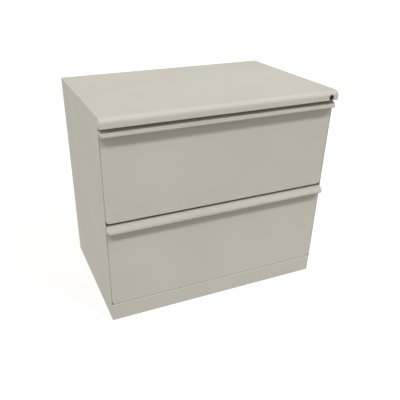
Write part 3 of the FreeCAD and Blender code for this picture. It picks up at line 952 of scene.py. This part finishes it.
@dataclass
class Fasteners:
    """Pan-head screws with a cross recess, and the dimples of spot welds."""

    shop: Workshop
    head_radius: float = 4.0 * MM
    pan_head: float = 2.0 * MM
    flat_head: float = 1.0 * MM
    shank_radius: float = 2.0 * MM
    shank_length: float = 6.0 * MM
    cross_arm: float = 2.1 * MM
    cross_width: float = 0.5 * MM
    cross_depth: float = 1.1 * MM
    crown_angles: tuple[float, ...] = (50.0, 28.0, 8.0, 0.0)
    crown_foot: float = 0.35
    weld_radius: float = 2.6 * MM
    weld_depth: float = 0.25 * MM
    weld_sides: int = 14
    liner_welds_in_row: int = 12
    liner_row_gap: float = 12.0 * MM
    liner_end_gap: float = 24.0 * MM
    upright_welds_in_row: int = 14
    upright_row_shift: float = 4.0 * MM
    upright_end_gap: float = 20.0 * MM

    def screw(self, head: float) -> bpy.types.Object:
        """A screw whose seat is at the origin and whose head stands up along Z.

        Args:
            head: Height of the head.

        Returns:
            The template, not linked to the scene.
        """
        arm, half = self.cross_arm, self.cross_width
        corners = [(arm, -half), (arm, half), (half, half), (half, arm), (-half, arm), (-half, half),
                   (-arm, half), (-arm, -half), (-half, -half), (-half, -arm), (half, -arm), (half, -half)]
        cross: list[Point2] = []
        for i, corner in enumerate(corners):
            after = corners[(i + 1) % len(corners)]
            cross += [corner, ((corner[0] + after[0]) / 2, (corner[1] + after[1]) / 2)]
        angles = [math.atan2(b, a) for a, b in cross]

        def collar(radius: float, z: float) -> Ring:
            return [Vector((radius * math.cos(t), radius * math.sin(t), z)) for t in angles]

        def recess(scale: float, z: float) -> Ring:
            return [Vector((a * scale, b * scale, z)) for a, b in cross]

        depth = min(self.cross_depth, head * 0.7)
        rings = [recess(0.55, head - depth), recess(1.0, head)]
        rings += [collar(self.head_radius * math.cos(math.radians(t)),
                         head * (self.crown_foot + (1 - self.crown_foot) * math.sin(math.radians(t))))
                  for t in self.crown_angles]
        rings += [collar(self.head_radius, 0.0), collar(self.shank_radius, 0.0),
                  collar(self.shank_radius, -self.shank_length * 0.9),
                  collar(self.shank_radius * 0.7, -self.shank_length)]
        piece = to_object("screw_template", lambda bm: fill_loft(bm, rings), 35.0)
        bpy.context.scene.collection.objects.unlink(piece)
        return piece

    def weld(self) -> bpy.types.Object:
        """The raised rim of a spot weld, round the origin and facing Z.

        Returns:
            The template, not linked to the scene.
        """
        shares = [(0.01, 0.0), (0.55, 0.0), (0.75, 1.0), (0.9, 0.8), (1.0, -0.4), (0.01, -0.4)]
        profile = [(r * self.weld_radius, z * self.weld_depth) for r, z in shares]
        piece = turned("weld_template", profile, Vector(), Plane.ALONG_Z, self.weld_sides, 60.0)
        bpy.context.scene.collection.objects.unlink(piece)
        return piece

    def clusters(self, node: str) -> list[tuple[Vector, Vector]]:
        """Find the boxes of the loose solids in a frame node.

        Args:
            node: The node.

        Returns:
            The lowest and highest corner of each solid.
        """
        bm = bmesh.new()
        bm.from_mesh(frame["nodes"][node].data)
        bmesh.ops.remove_doubles(bm, verts=bm.verts, dist=1e-6)
        boxes = []
        seen: set[int] = set()
        for start in bm.verts:
            if start.index in seen:
                continue
            group, queue = [], [start]
            seen.add(start.index)
            while queue:
                vert = queue.pop()
                group.append(vert.co.copy())
                for edge in vert.link_edges:
                    other = edge.other_vert(vert)
                    if other.index not in seen:
                        seen.add(other.index)
                        queue.append(other)
            boxes.append((Vector([min(p[k] for p in group) for k in range(3)]),
                          Vector([max(p[k] for p in group) for k in range(3)])))
        bm.free()
        return boxes

    def case_screws(self) -> None:
        """The screws round the back panel and those that hold the slides to the uprights."""
        back, low = [], {Side.LEFT: [], Side.RIGHT: []}
        back_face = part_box("back_panel")[1].y
        for lo, hi in self.clusters("case_screws"):
            middle = (lo + hi) / 2
            if hi.y > back_face:
                back.append(Vector((middle.x, back_face, middle.z)))
            else:
                side = Side.RIGHT if middle.x > 0 else Side.LEFT
                seat = lo.x + self.flat_head if side is Side.RIGHT else hi.x - self.flat_head
                low[side].append(Vector((seat, middle.y, middle.z)))
        pan, flat = self.screw(self.pan_head), self.screw(self.flat_head)
        pieces = [self.shop.set_out("back_screws", pan, back, Facing.BACK, "bright_zinc"),
                  self.shop.set_out("right_slide_screws", flat, low[Side.RIGHT], Facing.LEFT, "bright_zinc"),
                  self.shop.set_out("left_slide_screws", flat, low[Side.LEFT], Facing.RIGHT, "bright_zinc")]
        self.shop.fit(join("case_screw_set", pieces), "cabinet", "bright_zinc", "case_screws")

    def drawer_screws(self, level: Level) -> None:
        """The screws through a drawer's sides into its slides.

        Args:
            level: Which drawer.
        """
        node = f"{level.value}_drawer_screws"
        places = {Side.LEFT: [], Side.RIGHT: []}
        for lo, hi in self.clusters(node):
            middle = (lo + hi) / 2
            side = Side.RIGHT if middle.x > 0 else Side.LEFT
            seat = lo.x + self.pan_head if side is Side.RIGHT else hi.x - self.pan_head
            places[side].append(Vector((seat, middle.y, middle.z)))
        pan = self.screw(self.pan_head)
        pieces = [self.shop.set_out(f"{level.value}_{side.word}_screws", pan, places[side],
                                    Facing.LEFT if side is Side.RIGHT else Facing.RIGHT, "bright_zinc",
                                    11 + side.value) for side in Side]
        self.shop.fit(join(f"{level.value}_drawer_screw_set", pieces), f"{level.value}_drawer",
                      "bright_zinc", node)

    def liner_welds(self, level: Level) -> None:
        """Spot welds where the liner meets the sides of the drawer front, seen from inside.

        Args:
            level: Which drawer.
        """
        low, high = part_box(f"{level.value}_front_liner")
        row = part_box(f"{level.value}_drawer_right_side")[1].x + self.liner_row_gap
        start, end = low.z + self.liner_end_gap, high.z - self.liner_end_gap
        heights = spaced(start, end, self.liner_welds_in_row)
        places = [Vector((x, high.y, z)) for x in (-row, row) for z in heights]
        template = self.weld()
        piece = self.shop.set_out(f"{level.value}_liner_welds", template, places, Facing.BACK,
                                  "putty_paint")
        self.shop.fit(piece, f"{level.value}_drawer", "putty_paint")

    def case_welds(self) -> None:
        """Spot welds down the front faces of the front uprights."""
        places = []
        for side in Side:
            low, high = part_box(f"front_{side.word}_upright")
            x = (low.x + high.x) / 2 + side.value * self.upright_row_shift
            start, end = low.z + self.upright_end_gap, high.z - self.upright_end_gap
            places += [Vector((x, low.y, z)) for z in spaced(start, end, self.upright_welds_in_row)]
        template = self.weld()
        piece = self.shop.set_out("upright_welds", template, places, Facing.FRONT, "frame_paint")
        self.shop.fit(piece, "cabinet", "frame_paint")

    def build(self) -> None:
        """Make every fastener."""
        self.case_screws()
        self.case_welds()
        for level in Level:
            self.drawer_screws(level)
            self.liner_welds(level)


# ---- drawers ----
@dataclass
class DrawerFront:
    """The folded pan of a drawer front and the full-width pull over its upper edge."""

    shop: Workshop
    level: Level
    sheet: float = 1.0 * MM
    corner: float = 12.0 * MM
    edge: float = 1.2 * MM
    pull_sheet: float = 1.5 * MM
    pull_gap: float = 0.6 * MM
    pull_flat: float = 2.7 * MM
    pull_slope: float = math.radians(30.0)
    pull_drop: float = 17.1 * MM
    bend_radius: float = 7.5 * MM
    nose_radius: float = 6.0 * MM
    end_radius: float = 11.0 * MM
    flange: float = 18.0 * MM
    soft_edge: float = 0.7 * MM
    soft_angle: float = 40.0
    soft_segments: int = 3
    rim_steps: int = 6
    end_steps: int = 14
    least_radius: float = 0.1 * MM

    def pan(self) -> bpy.types.Object:
        """The pan: a face with rounded edges and a return on all four sides.

        Returns:
            The pan.
        """
        low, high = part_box(f"{self.level.value}_drawer_front")

        def ring(inset: float, y: float) -> Ring:
            bottom = max(self.corner - inset, self.least_radius)
            top = max(self.edge - inset, self.least_radius)
            corners = [(low.x + inset, low.z + inset, bottom), (high.x - inset, low.z + inset, bottom),
                       (high.x - inset, high.z - inset, top), (low.x + inset, high.z - inset, top)]
            return [Vector((a, y, b)) for a, b in outline(corners, 10)]

        def rim(skin: float, radius: float) -> list[tuple[float, float]]:
            arc = [(skin + radius * (1 - math.cos(t)), low.y + skin + radius * (1 - math.sin(t)))
                   for t in spaced(0.0, math.pi / 2, self.rim_steps + 1)]
            return [(skin, high.y)] + arc

        outer = rim(0.0, self.edge)
        inner = rim(self.sheet, self.edge - self.sheet)
        rings = [ring(inset, y) for inset, y in outer[::-1] + inner]
        return to_object(f"{self.level.value}_front_pan", lambda bm: fill_loft(bm, rings), 40.0)

    def pull_section(self, skin: float, y_open: float) -> list[Point2]:
        """The pull's upper profile, from its open back to the foot of its nose.

        Args:
            skin: How far the profile is drawn in.
            y_open: Where the profile starts at the back.

        Returns:
            Points (y, z).
        """
        low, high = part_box(f"{self.level.value}_pull")
        top, nose = high.z - skin, low.y + skin
        turn = self.front - self.pull_flat + skin * math.tan(self.pull_slope / 2)
        shoulder = top - (turn - nose) * math.tan(self.pull_slope)
        bottom = high.z - self.pull_drop - skin
        corners = [(y_open, top, 0), (turn, top, self.bend_radius - skin),
                   (nose, shoulder, self.nose_radius - skin), (nose, bottom, 0), (y_open, bottom, 0)]
        return outline(corners, 12)[:-1]

    def pull_solid(self, name: str, skin: float, y_open: float) -> bpy.types.Object:
        """The pull as a solid, drawn in by skin, with ends that are round seen from above.

        Args:
            name: Name of the solid.
            skin: How far it is drawn in.
            y_open: Where it starts at the back.

        Returns:
            The solid.
        """
        low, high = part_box(f"{self.level.value}_pull")
        section = self.pull_section(skin, y_open)
        half, radius, nose = high.x - skin, self.end_radius - skin, low.y + skin
        marks = [nose + radius * (1 - math.cos(t)) for t in spaced(0.0, math.pi / 2, self.end_steps + 1)[1:]]
        dense: list[Point2] = [section[0]]
        for a, b in zip(section[:-1], section[1:]):
            between = [y for y in marks if min(a[0], b[0]) + 2e-5 < y < max(a[0], b[0]) - 2e-5]
            for y in sorted(between, reverse=a[0] > b[0]):
                t = (y - a[0]) / (b[0] - a[0])
                dense.append((y, a[1] + (b[1] - a[1]) * t))
            dense.append(b)
        floor = section[-1][1]

        def reach(y: float) -> float:
            into = max(0.0, radius - (y - nose))
            return half - radius + math.sqrt(max(0.0, radius * radius - into * into))

        rows: list[Ring] = []
        for y, z in dense:
            x = reach(y)
            rows.append([Vector((-x, y, floor)), Vector((-x, y, z)), Vector((x, y, z)),
                         Vector((x, y, floor))])

        def make(bm: bmesh.types.BMesh) -> None:
            made = [[bm.verts.new(point) for point in row] for row in rows]
            for near, far in zip(made[:-1], made[1:]):
                for i in range(4):
                    j = (i + 1) % 4
                    bm.faces.new((near[i], near[j], far[j], far[i]))
            bm.faces.new(made[0][::-1])
            bmesh.ops.remove_doubles(bm, verts=bm.verts, dist=1e-6)
            bmesh.ops.dissolve_degenerate(bm, edges=bm.edges, dist=1e-6)
        return to_object(name, make, 35.0)

    def pull(self) -> bpy.types.Object:
        """The pull: a hollow nose with closed round ends and a flange over the drawer front.

        Returns:
            The pull.
        """
        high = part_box(f"{self.level.value}_pull")[1]
        pan_low, pan_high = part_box(f"{self.level.value}_drawer_front")
        name = f"{self.level.value}_pull_bar"
        shell = self.pull_solid(name, 0.0, self.front - self.pull_gap)
        hollow = self.pull_solid(f"{name}_hollow", self.pull_sheet, self.front + self.pull_gap)
        shell = combine(shell, hollow, Solids.CUT)
        flat = [(self.front - 2 * self.pull_gap, high.z - self.pull_sheet),
                (self.front + self.flange, high.z - self.pull_sheet),
                (self.front + self.flange, high.z), (self.front - 2 * self.pull_gap, high.z)]
        flange = to_object(f"{name}_flange", lambda bm: fill_prism(bm, flat, Plane.ALONG_X, pan_low.x,
                                                                   pan_high.x))
        shell = combine(shell, flange, Solids.UNITE)
        reround(shell, self.soft_edge, self.soft_angle, self.soft_segments)
        return shell

    def build(self) -> None:
        """Make the front and its pull and fix them to the drawer."""
        self.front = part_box(f"{self.level.value}_drawer_front")[0].y
        body = f"{self.level.value}_drawer"
        self.shop.fit(self.pan(), body, "putty_paint", f"{self.level.value}_drawer_front")
        self.shop.fit(self.pull(), body, "pull_paint", f"{self.level.value}_pull")


@dataclass
class DrawerBox:
    """The box behind a drawer front: sides with punched slots for more hanging rails."""

    shop: Workshop
    level: Level
    sheet: float = 1.0 * MM
    bend: float = 1.5 * MM
    bottom_flange: float = 12.0 * MM
    top_flange: float = 8.0 * MM
    slot: tuple[float, float] = (2.6 * MM, 14.0 * MM)
    pitch: float = 25.4 * MM

    def side(self, side: Side) -> bpy.types.Object:
        """One side, folded at its top and bottom edges, with a row of slots under its top edge.

        Args:
            side: Which side.

        Returns:
            The side.
        """
        low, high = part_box(f"{self.level.value}_drawer_{side.word}_side")
        outer = high.x if side is Side.RIGHT else -low.x
        path = [(outer - self.bottom_flange, low.z), (outer, low.z), (outer, high.z),
                (outer - self.top_flange, high.z)]
        section = [(side.value * a, b) for a, b in folded(path, self.sheet, self.bend, steps=6)]
        name = f"{self.level.value}_box_{side.word}_side"
        plain = to_object(f"{name}_plain", lambda bm: fill_prism(bm, section, Plane.ALONG_Y, low.y,
                                                                 high.y), 30.0)
        rail_low, rail_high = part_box(f"{self.level.value}_hang_rails")
        first = Vector((side.value * (outer - self.sheet / 2), rail_low.y + self.pitch,
                        (rail_low.z + rail_high.z) / 2))
        count = int((rail_high.y - rail_low.y - self.pitch) / self.pitch)
        made = self.shop.punch.run(name, plain.data, {
            "First": first, "Pitch": (0.0, self.pitch, 0.0), "Count": count,
            "Slot": (4 * self.sheet, self.slot[0], self.slot[1]),
            "Finish": self.shop.finishes["putty_paint"]})
        bpy.data.objects.remove(plain)
        made.data.set_sharp_from_angle(angle=math.radians(30))
        return made

    def build(self) -> None:
        """Make the sides and fix them to the drawer."""
        body = f"{self.level.value}_drawer"
        for side in Side:
            self.shop.fit(self.side(side), body, "putty_paint",
                          f"{self.level.value}_drawer_{side.word}_side")


@dataclass
class LockSet:
    """The cylinder lock in the right end of the lip."""

    shop: Workshop
    chamfer: float = 0.7 * MM
    plug_play: float = 0.05 * MM
    thread_start: float = 6.0 * MM
    groove: float = 0.35 * MM
    pitch: float = 1.5 * MM
    sides: int = 64

    def build(self) -> None:
        """Make the threaded housing with its chamfered bezel."""
        low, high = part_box("lock_housing")
        plug_low, plug_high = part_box("lock_plug")
        bore = (plug_high.x - plug_low.x) / 2 + self.plug_play
        radius = (high.x - low.x) / 2
        centre = Vector(((low.x + high.x) / 2, 0, (low.z + high.z) / 2))
        profile = [(bore, high.y), (bore, low.y + self.chamfer * 0.6), (bore + self.chamfer * 0.5, low.y),
                   (radius - self.chamfer, low.y), (radius, low.y + self.chamfer)]
        start = low.y + self.thread_start
        turns = int((high.y - start) / self.pitch)
        profile.append((radius, start))
        for k in range(turns):
            y = start + k * self.pitch
            profile += [(radius - self.groove, y + self.pitch * 0.5), (radius, y + self.pitch)]
        profile += [(radius - self.groove, high.y), (bore, high.y)]
        housing = turned("lock_barrel", profile, centre, Plane.ALONG_Y, self.sides, 30.0, capped=False)
        self.shop.fit(housing, "cabinet", "lock_black", "lock_housing")


@dataclass
class Glide:
    """A levelling foot: a turned disc with a threaded stem."""

    shop: Workshop
    row: Row
    side: Side
    pitch: float = 1.5 * MM
    thread_depth: float = 0.75 * MM
    stem_radius: float = 5.0 * MM
    foot_height: float = 6.0 * MM
    chamfer_top: float = 1.5 * MM
    rim_top: float = 3.2 * MM
    shoulder_top: float = 4.4 * MM
    thread_lead: float = 0.05 * MM
    rings_in_pitch: int = 6
    sides: int = 36

    def thread(self, centre: Vector, start: float, z: float) -> Ring:
        """One level ring of the stem's thread.

        Args:
            centre: A point on the stem's axis.
            start: Height at which the thread begins.
            z: Height of the ring.

        Returns:
            The ring.
        """
        ring: Ring = []
        for i in range(self.sides):
            phase = ((z - start) / self.pitch - i / self.sides) % 1.0
            radius = self.stem_radius - self.thread_depth * abs(2 * phase - 1)
            angle = math.tau * i / self.sides
            ring.append(centre + Vector((radius * math.cos(angle), radius * math.sin(angle), z)))
        return ring

    def build(self) -> None:
        """Make the foot and fix it to its body."""
        place = f"{self.row.value}_{self.side.word}"
        low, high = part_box(f"{place}_glide")
        centre = Vector(((low.x + high.x) / 2, (low.y + high.y) / 2, 0))
        foot = (high.x - low.x) / 2
        profile = [(foot * 0.82, 0.0), (foot, self.chamfer_top), (foot, self.rim_top),
                   (foot * 0.9, self.shoulder_top), (foot * 0.62, self.foot_height)]
        rings = [[centre + Vector((a, b, low.z + rise)) for a, b in circle(radius, self.sides)]
                 for radius, rise in profile]
        start = low.z + self.foot_height + self.thread_lead
        step = self.pitch / self.rings_in_pitch
        rings += [self.thread(centre, start, min(start + k * step, high.z))
                  for k in range(int((high.z - start) / step) + 1)]
        piece = to_object(f"{place}_foot_glide", lambda bm: fill_loft(bm, rings), 45.0)
        self.shop.fit(piece, f"{place}_foot", "glide_steel", f"{place}_glide")


# ---- studio ----
@dataclass(frozen=True)
class SoftLight:
    """One broad, distant lamp, aimed at the cabinet."""

    name: str
    azimuth: float
    elevation: float
    strength: float
    spread: float

    def build(self) -> None:
        """Hang the lamp."""
        lamp = bpy.data.lights.new(self.name, "SUN")
        lamp.energy = self.strength
        lamp.angle = math.radians(self.spread)
        light = bpy.data.objects.new(self.name, lamp)
        light.rotation_euler = (math.radians(90 - self.elevation), 0, math.radians(self.azimuth))
        bpy.context.scene.collection.objects.link(light)


@dataclass(frozen=True)
class Studio:
    """A pale floor, even soft light and the camera."""

    eye: tuple[float, float, float] = (-0.65805, -1.44081, 1.06348)
    azimuth: float = -22.64
    elevation: float = 28.83
    lens: float = 43.41
    shift: tuple[float, float] = (0.0571, 0.0411)
    floor_size: float = 60.0
    floor_depth: float = 0.02
    floor_glow: float = 0.62
    horizon: float = 0.15
    backdrop: float = 1.08
    sky: float = 0.45
    ground: float = 0.53
    lamps: tuple[SoftLight, ...] = (
        SoftLight("left_key", -38.0, 52.3, 1.20, 9.0),
        SoftLight("right_key", 38.0, 52.3, 1.20, 9.0),
        SoftLight("left_fill", -100.0, 10.0, 0.83, 60.0),
        SoftLight("right_fill", 100.0, 10.0, 0.83, 60.0),
    )

    def floor(self) -> None:
        """A pale floor that throws no light back: the surround does that evenly."""
        half = self.floor_size / 2
        corners = [(-half, -half), (half, -half), (half, half), (-half, half)]
        floor = to_object("floor", lambda bm: fill_prism(bm, corners, Plane.ALONG_Z,
                                                         -self.floor_depth, 0.0))
        nodes = Nodes("pale_floor")
        grain = nodes.spread(nodes.noise(2.0, 2.0), 0.0, 1.0)
        tone = nodes.tint(grain, (0.44, 0.44, 0.44), (0.46, 0.46, 0.455))
        floor.data.materials.append(nodes.connect(
            Base_Color=tone, Roughness=0.9, Specular_IOR_Level=0.0,
            Emission_Color=(1.0, 1.0, 1.0, 1.0), Emission_Strength=self.floor_glow))
        floor.visible_diffuse = False
        floor.visible_glossy = False

    def surround(self) -> None:
        """An even surround: soft from above, a little stronger from below, white behind."""
        world = bpy.data.worlds.new("surround")
        world.use_nodes = True
        tree = world.node_tree
        back = tree.nodes["Background"]
        back.inputs["Color"].default_value = (1.0, 0.985, 0.94, 1.0)
        way = tree.nodes.new("ShaderNodeTexCoord")
        split = tree.nodes.new("ShaderNodeSeparateXYZ")
        tree.links.new(way.outputs["Generated"], split.inputs[0])
        level = tree.nodes.new("ShaderNodeMapRange")
        for name, number in (("From Min", -self.horizon), ("From Max", self.horizon),
                             ("To Min", self.ground), ("To Max", self.sky)):
            level.inputs[name].default_value = number
        tree.links.new(split.outputs["Z"], level.inputs["Value"])
        path = tree.nodes.new("ShaderNodeLightPath").outputs["Is Camera Ray"]
        pick = tree.nodes.new("ShaderNodeMapRange")
        tree.links.new(path, pick.inputs["Value"])
        tree.links.new(level.outputs["Result"], pick.inputs["To Min"])
        pick.inputs["To Max"].default_value = self.backdrop
        tree.links.new(pick.outputs["Result"], back.inputs["Strength"])
        bpy.context.scene.world = world

    def camera(self) -> None:
        """The camera, level and to the left of the cabinet's front."""
        data = bpy.data.cameras.new("camera")
        data.sensor_width = 36.0
        data.lens = self.lens
        data.shift_x, data.shift_y = self.shift
        data.clip_start, data.clip_end = 0.01, 200.0
        camera = bpy.data.objects.new("camera", data)
        camera.rotation_euler = (math.radians(90 - self.elevation), 0, math.radians(self.azimuth))
        camera.location = self.eye
        bpy.context.scene.collection.objects.link(camera)
        bpy.context.scene.camera = camera

    def build(self) -> None:
        """Set the stage."""
        self.floor()
        for lamp in self.lamps:
            lamp.build()
        self.surround()
        self.camera()
        bpy.context.scene.view_settings.view_transform = "Standard"


def make_finishes() -> dict[str, bpy.types.Material]:
    """Every finish of the cabinet, by material slot.

    Returns:
        The materials.
    """
    finishes = {
        "putty_paint": PowderCoat("putty_powder_coat", (0.538, 0.514, 0.452)),
        "pull_paint": PowderCoat("pull_powder_coat", (0.465, 0.434, 0.394)),
        "frame_paint": PowderCoat("frame_undercoat", (0.50, 0.48, 0.42), drift=0.05, rough=0.5),
        "slide_zinc": Plate("slide_zinc_plate", (0.70, 0.71, 0.72)),
        "bright_zinc": Plate("screw_zinc_plate", (0.66, 0.67, 0.68), rough=0.28, grain=(1.0, 1.0, 0.2)),
        "lock_black": Rough("lock_black_oxide", (0.003, 0.003, 0.003), rough=0.6, lump=0.02 * MM,
                            scale=600.0, dust=0.008),
        "bumper_rubber": Rough("bumper_rubber", (0.03, 0.03, 0.03), rough=0.75, lump=0.06 * MM,
                               scale=900.0),
        "weight_iron": Rough("cast_weight", (0.10, 0.10, 0.105), rough=0.7, lump=0.4 * MM,
                             scale=220.0, metallic=0.4),
        "glide_steel": Plate("glide_steel_plate", (0.60, 0.61, 0.62), rough=0.34, grain=(1.0, 1.0, 0.1)),
    }
    return {slot: finish.material() for slot, finish in finishes.items()}


def main() -> None:
    """Build the cabinet's looks, piece by piece."""
    logging.basicConfig(level=logging.INFO, format="%(message)s")
    for name in STARTUP_OBJECTS:
        spare = bpy.data.objects.get(name)
        if spare is not None:
            bpy.data.objects.remove(spare)
    shop = Workshop(make_finishes())
    slots = {part["node"]: part["material_slot"] for part in frame["record"]["subparts"]}
    for node, slot in sorted(slots.items()):
        shop.dress(node, slot)
    CaseShell(shop).build()
    for level in Level:
        DrawerFront(shop, level).build()
        DrawerBox(shop, level).build()
    Fasteners(shop).build()
    LockSet(shop).build()
    for row in Row:
        for side in Side:
            Glide(shop, row, side).build()
    Studio().build()


if __name__ == "__main__":
    main()
